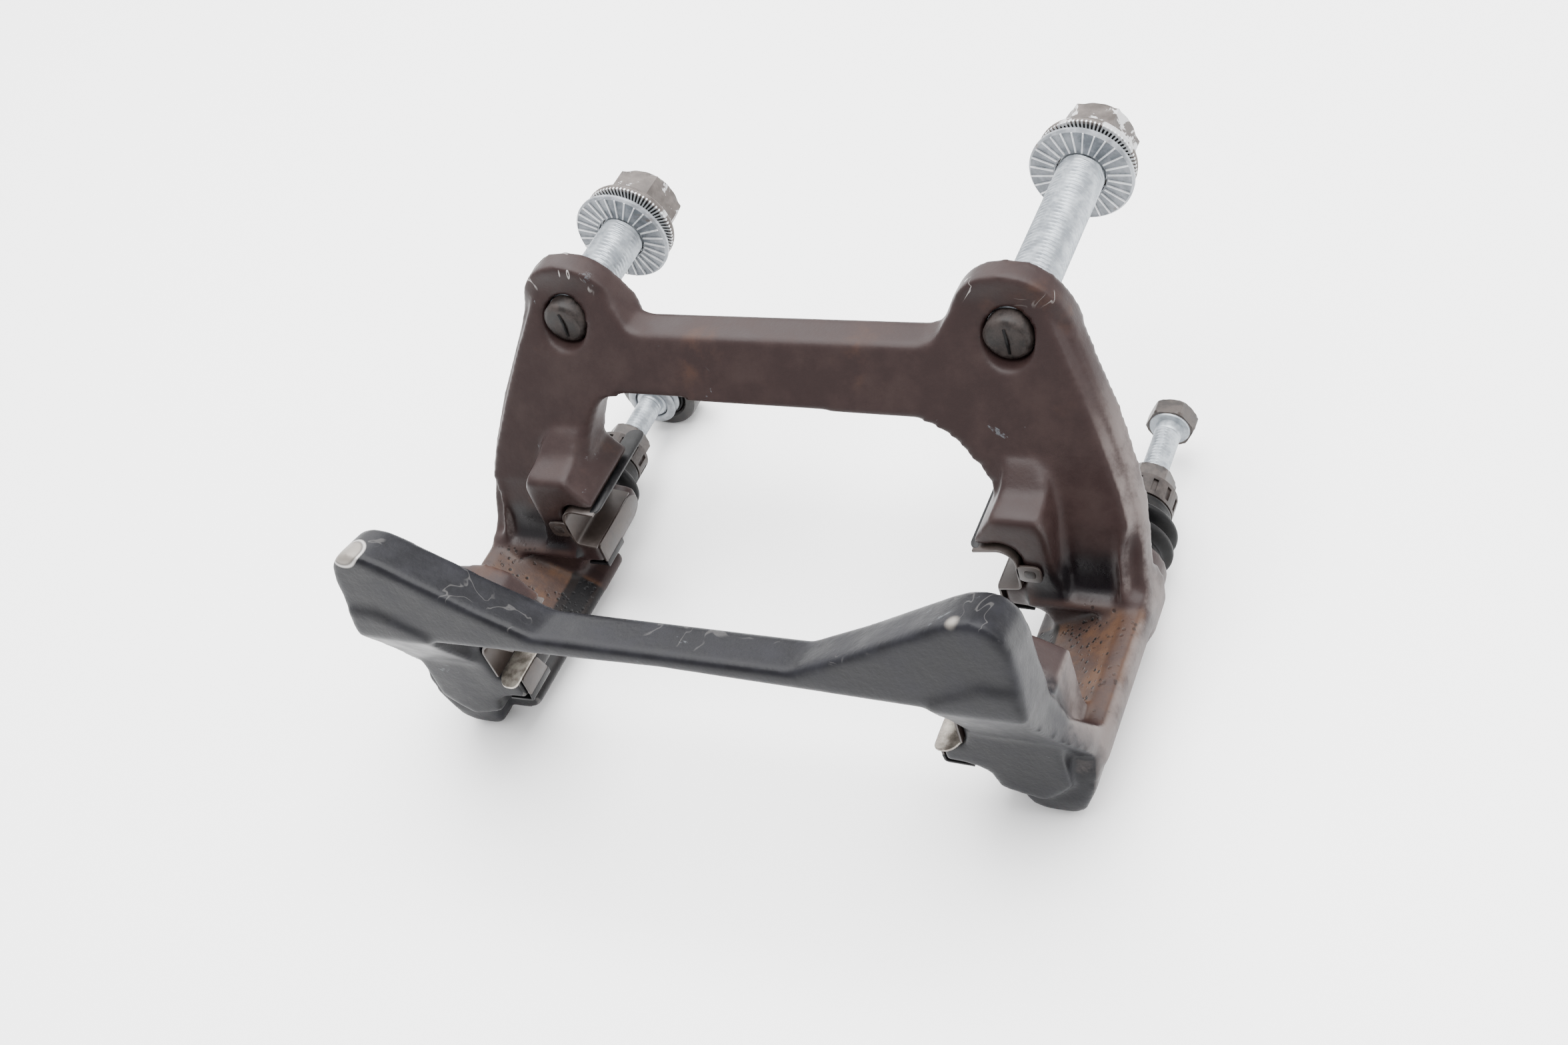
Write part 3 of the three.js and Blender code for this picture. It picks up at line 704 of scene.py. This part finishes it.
def hexHead(name, x, z, y0, y1, flats, chamfer, finish, turn=0.0, cup=0.0, underChamfer=0.0):
    # six flats met by a turned cone at the outer end, and a shallow dish in the face
    corner = flats / math.sqrt(3)
    steps = 10
    between = [y0 + (y1 - y0) * i / steps for i in range(1, steps)]
    ys = [y0, y0] + between + [y1 - chamfer * 0.35, y1, y1, y1 - cup, y1 - cup]
    limits = [0.0, corner * 1.02 - underChamfer]
    for i in range(1, steps):
        low = corner * 1.02 - max(0.0, underChamfer - (y1 - y0) * i / steps * 1.7)
        high = corner * 1.02 - max(0.0, chamfer - (y1 - (y0 + (y1 - y0) * i / steps))) * 1.75
        limits.append(min(low, high))
    limits += [corner * 1.02 - chamfer * 1.14, corner * 1.02 - chamfer * 1.75]
    limits += [flats * 0.36 if cup else flats * 0.2, flats * 0.33 if cup else 0.1 * flats, 0.0]

    def radiusAt(i, a):
        b = (a + turn) % (math.pi / 3) - math.pi / 6
        return min(limits[i], flats / 2 / math.cos(b))

    piece = revolve(name, radiusAt, ys, x, z, 144)
    piece.data.materials.append(finish)
    sharpByAngle(piece, 28)
    return piece


# mounting bolts and washers
boltShape = {
    "radius": 0.007, "pitch": 0.0015, "depth": 0.00075, "flats": 0.021, "flange": 0.0146, "serrations": 72}
washerShape = {"radius": 0.0153, "hole": 0.0075, "ribs": 28, "ribWidth": 0.0004, "ribHeight": 0.0009}


def mountingBolt(side):
    node = "mounting_bolt_" + side
    x, _, z = middle(node)
    y0, y1 = span(node)
    flangeY = y1 - 0.015
    r = boltShape["radius"]
    rod = threadedRod(
        "boltRod", x, z, y0 + 0.0052, flangeY + 0.001, r, boltShape["pitch"], boltShape["depth"], 0.0006,
        zincMaterial)
    tip = lathe(
        "boltTip",
        [
            (0, y0 + 0.0005), (0.0052, y0), (0.0060, y0 + 0.0002), (r - 0.0001, y0 + 0.0012),
            (r - 0.0001, y0 + 0.0056), (0, y0 + 0.0056)], x, z, 72)
    tip.data.materials.append(tipMaterial)
    sharpByAngle(tip, 50)
    # painted shade: a dark bar on the tip face stands for the shade inside a slot
    slotShade = meshPiece("tipSlot", *slotShadeBar(x, y0, z))
    slotShade.data.materials.append(rubberMaterial)
    f = boltShape["flange"]
    flange = lathe(
        "boltFlange",
        bellows(
            [
                (0.0068, flangeY), (f - 0.0012, flangeY - 0.0001), (f - 0.0003, flangeY + 0.0004),
                (f, flangeY + 0.0012), (f - 0.0005, flangeY + 0.0022), (0.0118, flangeY + 0.0034),
                (0.0112, flangeY + 0.0046), (0.0, flangeY + 0.0048)], 4), x, z, 96)
    flange.data.materials.append(headMaterial)
    sharpByAngle(flange, 50)
    # painted shade: a dark ring under the teeth stands for the shade in the gaps between them
    shadowRing = lathe(
        "flangeGroove",
        [
            (0.0086, flangeY + 0.0003), (0.0086, flangeY - 0.00015), (f - 0.0012, flangeY - 0.00015),
            (f - 0.0006, flangeY + 0.0004), (0.0086, flangeY + 0.0003)], x, z, 96)
    shadowRing.data.materials.append(blackClipMaterial)
    sharpByAngle(shadowRing, 40)
    teeth = ribRing(
        "flangeTeeth", x, flangeY + 0.00055, z, boltShape["serrations"], 0.0088, f - 0.0002, 0.00050,
        0.0016, ribHighlightZinc)
    sharpByAngle(teeth, 30)
    head = hexHead(
        "boltHex", x, z, flangeY + 0.003, y1, boltShape["flats"], 0.0022, headMaterial, turn=0.35,
        cup=0.0022)
    for name, piece, slot in (
        ("Rod", rod, "bolt_zinc"), ("Tip", tip, "pin_steel"), ("Slot", slotShade, "pin_steel"),
        ("Flange", joinPieces("flange", [flange, shadowRing, teeth]), "pin_steel"),
        ("Head", head, "pin_steel")):
        piece.name = side + "Bolt" + name
        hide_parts(node)
        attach(piece, node)


def slotShadeBar(x, y, z):
    # a narrow dark bar across the tip, standing a little proud of it: painted shade for a slot
    half, deep, long = 0.00035, 0.00012, 0.0042
    verts = []
    for dx, dz in ((-half, -long), (half, -long), (half, long), (-half, long)):
        verts.append((x + dx, y - deep, z + dz))
        verts.append((x + dx * 0.8, y + 0.0006, z + dz * 0.98))
    faces = [(0, 2, 4, 6), (7, 5, 3, 1), (0, 1, 3, 2), (2, 3, 5, 4), (4, 5, 7, 6), (6, 7, 1, 0)]
    return verts, faces


def ribbedWasher(side):
    node = "ribbed_washer_" + side
    x, _, z = middle(node)
    y0, y1 = span(node)
    r, hole = washerShape["radius"], washerShape["hole"]
    face = y0 + 0.0005
    disc = lathe(
        "washerDisc",
        [
            (hole, face), (hole, y1 - 0.0003), (hole + 0.0003, y1), (r - 0.0005, y1), (r, y1 - 0.0005),
            (r, face + 0.0005), (r - 0.0006, face - 0.0002), (r - 0.0012, face), (hole, face)], x, z, 120)
    disc.data.materials.append(washerMaterial)
    sharpByAngle(disc, 40)
    ribs = ribRing(
        "washerRibs", x, face, z, washerShape["ribs"], hole + 0.0004, r - 0.0006, washerShape["ribWidth"],
        washerShape["ribHeight"], ribHighlightZinc)
    back = ribRing(
        "washerBackRibs", x, y1 - 0.00025, z, washerShape["ribs"], hole + 0.0014, r - 0.0012,
        washerShape["ribWidth"], 0.0006, washerMaterial)
    piece = joinPieces(side + "Washer", [disc, ribs, back])
    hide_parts(node)
    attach(piece, "washer_" + side)


for side in ("left", "right"):
    mountingBolt(side)
    ribbedWasher(side)
print("stage: mounting bolts and washers")


# guide pins, boots and guide bolts
guideShape = {"pin": 0.0055, "flats": 0.013, "boltRadius": 0.004, "boltPitch": 0.00125, "boltDepth": 0.0005}


def guideSet(side):
    node = "guide_pin_" + side
    x, _, z = middle(node)
    y0, y1 = span(node)
    hexY = y1 - 0.0065
    stem = lathe(
        "pinStem",
        [
            (0, y0), (guideShape["pin"] - 0.0012, y0), (guideShape["pin"], y0 + 0.0012),
            (guideShape["pin"], hexY), (0, hexY)], x, z, 48)
    stem.data.materials.append(pinMaterial)
    sharpByAngle(stem, 40)
    head = hexHead(
        "pinHex", x, z, hexY, y1, guideShape["flats"], 0.0011, pinMaterial, turn=0.2, underChamfer=0.0011)
    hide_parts(node)
    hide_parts(node)
    for piece, name in ((stem, "PinStem"), (head, "PinHex")):
        piece.name = side + name
        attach(piece, node)

    # boot: two thin-lipped bellows and a foot
    bootNode = "guide_boot_" + side
    b0, b1 = span(bootNode)
    length = b1 - b0
    skin = [
        (0.0064, 0.02), (0.0102, 0.0), (0.0106, 0.10), (0.0104, 0.17), (0.0126, 0.25), (0.0129, 0.31),
        (0.0124, 0.36), (0.0098, 0.44), (0.0096, 0.50), (0.0122, 0.58), (0.0126, 0.64), (0.0120, 0.69),
        (0.0096, 0.77), (0.0092, 0.90), (0.0090, 0.99), (0.0064, 1.0), (0.0062, 0.5), (0.0064, 0.02)]
    boot = lathe("boot", bellows([(r, b0 + share * length) for r, share in skin], 5), x, z, 96)
    boot.data.materials.append(rubberMaterial)
    boot.name = side + "Boot"
    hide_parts(bootNode)
    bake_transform(boot)
    return x, z


def guideBolt(side, x, z):
    node = "guide_bolt_" + side
    y0, y1 = span(node)
    if side == "right":
        headY = y1 - 0.006
        rod = threadedRod(
            "guideRod", x, z, y0, headY + 0.0005, guideShape["boltRadius"], guideShape["boltPitch"],
            guideShape["boltDepth"], 0.0032, zincMaterial, 48)
        face = lathe(
            "guideFace",
            [
                (0.0, headY - 0.0004), (0.0058, headY - 0.0004), (0.0061, headY), (0.0061, headY + 0.0006),
                (0, headY + 0.0006)], x, z, 72)
        face.data.materials.append(zincMaterial)
        sharpByAngle(face, 40)
        head = hexHead(
            "guideHex", x, z, headY, y1, guideShape["flats"], 0.0010, pinMaterial, turn=0.5,
            underChamfer=0.0008, cup=0.0006)
        parts = [("Rod", rod, "bolt_zinc"), ("Face", face, "bolt_zinc"), ("Head", head, "pin_steel")]
    else:
        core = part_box("damper_collar_left")[0][1]
        rod = threadedRod(
            "guideRod", x, z, y0, core + 0.001, guideShape["boltRadius"], guideShape["boltPitch"],
            guideShape["boltDepth"], 0.0008, zincMaterial, 48)
        sleeve = lathe(
            "guideSleeve",
            [
                (0, core + 0.0002), (0.0050, core + 0.0002), (0.0056, core + 0.0008), (0.0056, y1 - 0.0070),
                (0.0078, y1 - 0.0069), (0.0080, y1 - 0.0066), (0.0080, y1 - 0.0056), (0.0076, y1 - 0.0053),
                (0, y1 - 0.0053)], x, z, 72)
        sleeve.data.materials.append(zincMaterial)
        sharpByAngle(sleeve, 40)
        head = hexHead(
            "guideHex", x, z, y1 - 0.0058, y1, guideShape["flats"], 0.0010, pinMaterial, turn=0.1,
            underChamfer=0.0004, cup=0.0006)
        parts = [("Rod", rod, "bolt_zinc"), ("Sleeve", sleeve, "bolt_zinc"), ("Head", head, "pin_steel")]
    for name, piece, slot in parts:
        piece.name = side + "GuideBolt" + name
        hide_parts(node)
        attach(piece, node)


def damper():
    x, _, z = middle("damper_weight_left")
    c0, c1 = span("damper_collar_left")
    collar = lathe(
        "damperCollar",
        bellows(
            [
                (0.0059, c0 + 0.0002), (0.0070, c0), (0.0083, c0 + 0.0004), (0.0086, c0 + 0.0012),
                (0.0078, c0 + 0.0022), (0.0079, c0 + 0.0032), (0.0086, c1 - 0.0004), (0.0080, c1),
                (0.0059, c1), (0.0059, c0 + 0.0002)], 4), x, z, 96)
    collar.data.materials.append(washerMaterial)
    w0, w1 = span("damper_weight_left")
    r = (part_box("damper_weight_left")[1][0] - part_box("damper_weight_left")[0][0]) / 2
    weight = lathe(
        "damperWeight",
        [
            (0.0099, w0 + 0.0008), (0.0106, w0), (r - 0.0012, w0), (r - 0.0003, w0 + 0.0004),
            (r, w0 + 0.0014), (r, w1 - 0.0014), (r - 0.0004, w1 - 0.0004), (r - 0.0013, w1), (0.0106, w1),
            (0.0099, w1 - 0.0008), (0.0099, w0 + 0.0008)], x, z, 120)
    weight.data.materials.append(weightMaterial)
    sharpByAngle(weight, 35)
    g0, g1 = span("damper_rubber_left")
    filling = lathe(
        "damperRubber",
        bellows(
            [
                (0.0059, g0), (0.0075, g0 + 0.0006), (0.0095, g0), (0.0096, g1), (0.0075, g1 - 0.0006),
                (0.0059, g1), (0.0059, g0)], 4), x, z, 96)
    filling.data.materials.append(rubberMaterial)
    for piece, node, slot in (
        (collar, "damper_collar_left", "washer_zinc"), (weight, "damper_weight_left", "weight_steel"),
        (filling, "damper_rubber_left", "rubber")):
        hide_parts(node)
        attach(piece, "damper")


for side in ("left", "right"):
    guideBolt(side, *guideSet(side))
damper()
for name, finish in (
    ("boot_crown_left", crownMaterial), ("boot_crown_right", crownMaterial),
    ("boot_ring_left", pinMaterial), ("boot_ring_right", pinMaterial), ("pin_bush_left", rubberMaterial)):
    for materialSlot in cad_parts[name].material_slots:
        materialSlot.link = "OBJECT"
        materialSlot.material = finish
print("stage: guide pins, boots and bolts")


# pad clips
clipShape = {
    "gauge": 0.0008, "ease": 0.0016, "tongueTip": 0.0033, "tabRound": 0.0022, "top": 0.0457,
    "jawBack": -0.0025, "cheekX": 0.0640, "wearTurns": 2, "wearGain": 200.0}


def easedPath(points, radius, steps=5):
    out = [Vector(points[0])]
    for i in range(1, len(points) - 1):
        before, here, after = (Vector(points[j]) for j in (i - 1, i, i + 1))
        reach = min(radius, (before - here).length * 0.45, (after - here).length * 0.45)
        a = here + (before - here).normalized() * reach
        b = here + (after - here).normalized() * reach
        out += [
            (1 - t) ** 2 * a + 2 * t * (1 - t) * here + t * t * b for t in [
                k / steps for k in range(steps + 1)]]
    out.append(Vector(points[-1]))
    return out


def foldedStrip(name, path, y0, y1, side, finish, frontCut=0.0, backCut=0.0):
    # a strip of one gauge bent along an (x, z) path; the cuts lean its two long edges
    line = easedPath(path, clipShape["ease"])
    half = clipShape["gauge"] / 2
    verts = []
    count = len(line)
    for i, point in enumerate(line):
        along = (line[min(i + 1, count - 1)] - line[max(i - 1, 0)]).normalized()
        away = Vector((-along.y, along.x)) * half
        share = i / (count - 1)
        for y in (y0 + frontCut * share, y1 - backCut * share):
            for sign in (1, -1):
                p = point + away * sign
                verts.append((side * p.x, y, p.y))
    faces = []
    for i in range(count - 1):
        a, b = 4 * i, 4 * (i + 1)
        faces += [
            (a, a + 2, b + 2, b), (a + 1, b + 1, b + 3, a + 3), (a, b, b + 1, a + 1),
            (a + 2, a + 3, b + 3, b + 2)]
    faces += [(0, 1, 3, 2), (4 * count - 4, 4 * count - 2, 4 * count - 1, 4 * count - 3)]
    piece = meshPiece(name, verts, faces)
    return finishSheet(piece, name, finish)


def finishSheet(piece, name, finish):
    edge = piece.modifiers.new("edge", "BEVEL")
    edge.width = 0.00018
    edge.segments = 2
    edge.limit_method = "ANGLE"
    edge.angle_limit = math.radians(50)
    piece = bake(piece, name)
    piece.data.materials.clear()
    piece.data.materials.append(finish)
    sharpByAngle(piece, 40)
    return piece


def flatPlate(name, outline, plane, offset, side, finish, depth=clipShape["gauge"]):
    # an outline in two of the axes, with a thickness along the third
    order = {"xy": (0, 1, 2), "xz": (0, 2, 1), "yz": (2, 0, 1)}[plane]
    verts = []
    for level in (offset, offset + depth):
        for a, b in outline:
            x, y, z = ((a, b, level)[i] for i in order)
            verts.append((side * x, y, z))
    n = len(outline)
    faces = [tuple(range(n)), tuple(range(2 * n - 1, n - 1, -1))]
    faces += [(i, (i + 1) % n, n + (i + 1) % n, n + i) for i in range(n)]
    return finishSheet(meshPiece(name, verts, faces), name, finish)


def clipHeights(node):
    # heights in mm above the floor, raised or lowered with the clip's top
    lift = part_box(node)[1][2] - clipShape["top"]
    return lambda mm: lift + mm / 1000


def channelPath(rise):
    return [(0.0602, rise(44.3)), (0.0680, rise(45.3)), (0.0706, rise(43.9)), (0.0719, rise(41.4)),
            (0.0715, rise(30.9)), (0.0646, rise(30.0))]


def skirtPath(rise):
    return [(0.0643, rise(23.0)), (0.0645, rise(20.7)), (0.0652, rise(20.4)), (0.0724, rise(20.1))]


def inboardClip(node, side):
    (_, front, _), (_, tongueEnd, _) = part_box(node)
    rise, back = clipHeights(node), clipShape["jawBack"]
    cheekX, tab = clipShape["cheekX"], clipShape["tabRound"]
    cheek = rounded(
        [
            (front + 0.001, rise(30.2)), (back - 0.006, rise(30.2)), (back - 0.0035, rise(28.8)),
            (back - 0.002, rise(26.6)), (back - 0.003, rise(24.2)), (back - 0.006, rise(22.6)),
            (front + 0.001, rise(22.1))], 0.0016)
    tongue = rounded(
        [(0.0590, front + 0.001), (0.0652, front + 0.001), (0.0652, tongueEnd), (0.0590, tongueEnd)],
        clipShape["tongueTip"], 8)
    ridge = rounded([(0.0606, front + 0.004), (0.0636, front + 0.004), (0.0636, tongueEnd - 0.002),
                     (0.0606, tongueEnd - 0.002)], 0.0015, 6)
    tabOutline = rounded(
        [(0.0714, rise(40)), (0.0784, rise(40)), (0.0784, rise(34)), (0.0714, rise(34))], tab, 6)
    dimple = rounded(
        [(0.0735, rise(38.4)), (0.0768, rise(38.4)), (0.0768, rise(35.6)), (0.0735, rise(35.6))], 0.0011, 5)
    return [
        foldedStrip("channel", channelPath(rise), front, back, side, clipMaterial, backCut=0.004),
        foldedStrip(
            "skirt", skirtPath(rise), front + 0.001, front + 0.0115, side, blackClipMaterial,
            frontCut=0.0012), flatPlate("cheek", cheek, "yz", cheekX, side, clipMaterial),
        flatPlate("tongue", tongue, "xy", rise(44.1), side, blackClipMaterial),
        flatPlate("tongueRidge", ridge, "xy", rise(43.9), side, blackClipMaterial, depth=0.0009),
        flatPlate("tab", tabOutline, "xz", front, side, clipMaterial),
        flatPlate("tabDimple", dimple, "xz", front - 0.0002, side, tipMaterial, depth=0.0006),]


def outboardClip(node, side, rise):
    (_, front, _), (_, back, _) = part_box(node)
    tip = rounded(
        [(0.0644, front), (0.0690, front), (0.0716, front + 0.004), (0.0716, back), (0.0644, back)], 0.0021,
        7)
    cheek = rounded([(front + 0.0036, rise(29.8)), (back - 0.010, rise(29.8)), (back - 0.008, rise(22.4)),
                     (front + 0.0036, rise(22.4))], 0.0012)
    hook = [(0.0700, rise(20.1)), (0.0720, rise(19.6)), (0.0720, rise(16.0))]
    return [
        foldedStrip("outerChannel", channelPath(rise)[:-1], front + 0.0026, back, side, clipMaterial),
        foldedStrip("outerSkirt", skirtPath(rise), front + 0.0036, back - 0.008, side, blackClipMaterial),
        flatPlate("rubbedTip", tip, "xy", rise(29.7), side, brightClipMaterial),
        flatPlate("outerCheek", cheek, "yz", clipShape["cheekX"], side, clipMaterial),
        foldedStrip("outerHook", hook, front + 0.0056, front + 0.0096, side, blackClipMaterial,
                    frontCut=0.0008, backCut=0.0012),
    ]


def padClips(sideName, side):
    inNode, outNode = "inboard_clip_" + sideName, "outboard_clip_" + sideName
    for node, pieces in (
        (inNode, inboardClip(inNode, side)), (outNode, outboardClip(outNode, side, clipHeights(inNode)))):
        for piece in pieces:
            piece.name = sideName + piece.name.split(".")[0].capitalize()
            giveWear(piece, clipShape["wearTurns"], clipShape["wearGain"])
            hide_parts(node)
            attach(piece, "carrier")


padClips("left", -1)
padClips("right", 1)
print("stage: pad clips")


# floor, light and camera
stageLook = {"floor": (0.95, 0.95, 0.948), "world": (0.99, 0.99, 1.0), "worldStrength": 1.75}


def softLight(name, place, target, size, power):
    data = bpy.data.lights.new(name, "AREA")
    data.shape = "RECTANGLE"
    data.size, data.size_y = size
    data.energy = power
    lamp = bpy.data.objects.new(name, data)
    lamp.location = place
    lamp.rotation_euler = (Vector(target) - Vector(place)).to_track_quat("-Z", "Y").to_euler()
    bpy.context.scene.collection.objects.link(lamp)


def studio():
    floor = meshPiece(
        "studioFloor", [(-3, -3, 0), (3, -3, 0), (3, 3, 0), (-3, 3, 0)], [(0, 1, 2, 3)], smooth=False)
    material, _, shader, _ = finishNamed("paleFloor")
    shader.inputs["Base Color"].default_value = (*stageLook["floor"], 1)
    shader.inputs["Roughness"].default_value = 0.45
    floor.data.materials.append(material)
    world = bpy.data.worlds.new("studioWorld")
    world.use_nodes = True
    back = world.node_tree.nodes["Background"]
    back.inputs[0].default_value = (*stageLook["world"], 1)
    back.inputs[1].default_value = stageLook["worldStrength"]
    bpy.context.scene.world = world

    softLight("overhead", (0.0, 0.25, 1.5), (0, 0, 0.05), (1.8, 1.6), 95.0)
    softLight("farSide", (-1.0, 0.9, 0.9), (0, 0, 0.05), (0.9, 0.9), 12.0)
    softLight("rightWindow", (1.1, 0.1, 0.8), (0, 0, 0.05), (0.8, 0.9), 9.0)
    print("stage: floor and lights")


viewShape = {
    "sensor": 36, "lens": 43.05459, "place": (0.24287, -0.34271, 0.30954), "boltEndY": 0.090,
    "ahead": (-0.45491, 0.58816, -0.66868), "up": (-0.07863, 0.72141, 0.68803),
}


def viewCamera():
    # the place is given for bolts that end at boltEndY and lie at height 0
    data = bpy.data.cameras.new("viewCamera")
    data.sensor_width = viewShape["sensor"]
    data.lens = viewShape["lens"]
    camera = bpy.data.objects.new("viewCamera", data)
    ahead = Vector(viewShape["ahead"]).normalized()
    up = Vector(viewShape["up"])
    right = ahead.cross(up).normalized()
    up = right.cross(ahead)
    turn = Matrix((right, up, -ahead)).transposed()
    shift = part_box("mounting_bolt_right")[1][1] - viewShape["boltEndY"]
    place = Vector(viewShape["place"]) + Vector((0, shift, middle("mounting_bolt_right")[2]))
    camera.matrix_world = Matrix.Translation(place) @ turn.to_4x4()
    bpy.context.scene.collection.objects.link(camera)
    bpy.context.scene.camera = camera


studio()
viewCamera()
